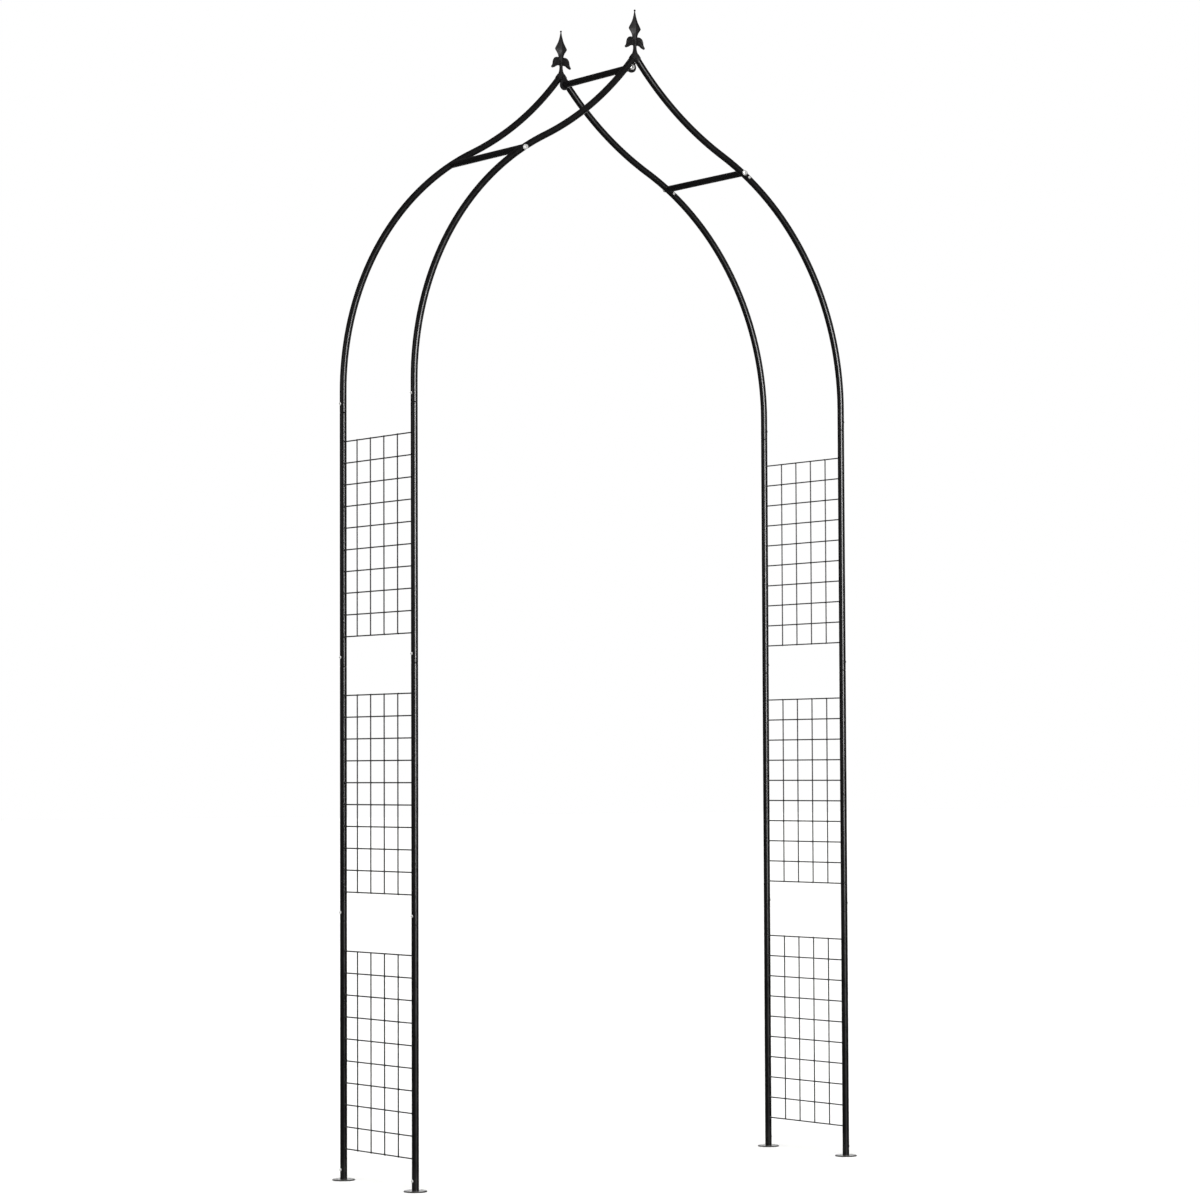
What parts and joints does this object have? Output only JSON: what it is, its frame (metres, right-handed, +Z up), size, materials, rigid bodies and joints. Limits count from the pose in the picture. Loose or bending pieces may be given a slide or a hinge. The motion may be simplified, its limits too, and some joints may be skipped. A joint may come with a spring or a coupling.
{
  "type": "garden arch",
  "caption": "Pointed garden arch of black steel tube with wire trellis sides, cross bars, round floor plates and spear finials, to walk through and to train climbers on.",
  "frame": {"origin": "on the ground, midway between the four feet", "axes": "+X across the path to the right seen from the front, +Y along the path from the front arch to the rear arch, +Z up"},
  "size_m": [1.292, 0.352, 2.721],
  "materials": {
    "powder_coated_tube": "satin black powder coat on round steel tube, faintly rippled, with soft grey highlights",
    "powder_coated_wire": "satin black powder coat on drawn wire, thicker at the welded crossings",
    "painted_casting": "satin black paint over a slightly rough casting",
    "powder_coated_plate": "satin black powder coat on flat plate, a little dusty",
    "zinc_steel": "bright zinc plate on bolts, washers and small screws",
    "plain_steel": "plain turned steel, hidden inside the bar ends"
  },
  "bodies": {
    "root": {"apex_bar": "powder_coated_tube", "apex_bolts": "zinc_steel", "apex_fitting_front": "painted_casting", "apex_fitting_rear": "painted_casting", "bar_bolt_washers": "zinc_steel", "bar_end_plugs": "plain_steel", "crown_screws": "zinc_steel", "crown_tube_front_left": "powder_coated_tube", "crown_tube_front_right": "powder_coated_tube", "crown_tube_rear_left": "powder_coated_tube", "crown_tube_rear_right": "powder_coated_tube", "finial_front": "painted_casting", "finial_rear": "painted_casting", "foot_flange_front_left": "powder_coated_plate", "foot_flange_front_right": "powder_coated_plate", "foot_flange_rear_left": "powder_coated_plate", "foot_flange_rear_right": "powder_coated_plate", "foot_screws": "zinc_steel", "mesh_panel_lower_left": "powder_coated_wire", "mesh_panel_lower_right": "powder_coated_wire", "mesh_panel_middle_left": "powder_coated_wire", "mesh_panel_middle_right": "powder_coated_wire", "mesh_panel_upper_left": "powder_coated_wire", "mesh_panel_upper_right": "powder_coated_wire", "post_joint_screws": "zinc_steel", "post_lower_front_left": "powder_coated_tube", "post_lower_front_right": "powder_coated_tube", "post_lower_rear_left": "powder_coated_tube", "post_lower_rear_right": "powder_coated_tube", "post_middle_front_left": "powder_coated_tube", "post_middle_front_right": "powder_coated_tube", "post_middle_rear_left": "powder_coated_tube", "post_middle_rear_right": "powder_coated_tube", "post_upper_front_left": "powder_coated_tube", "post_upper_front_right": "powder_coated_tube", "post_upper_rear_left": "powder_coated_tube", "post_upper_rear_right": "powder_coated_tube", "shoulder_bar_left": "powder_coated_tube", "shoulder_bar_right": "powder_coated_tube", "shoulder_bolts": "zinc_steel", "shoulder_screws": "zinc_steel", "springer_tube_front_left": "powder_coated_tube", "springer_tube_front_right": "powder_coated_tube", "springer_tube_rear_left": "powder_coated_tube", "springer_tube_rear_right": "powder_coated_tube"}
  },
  "joints": []
}
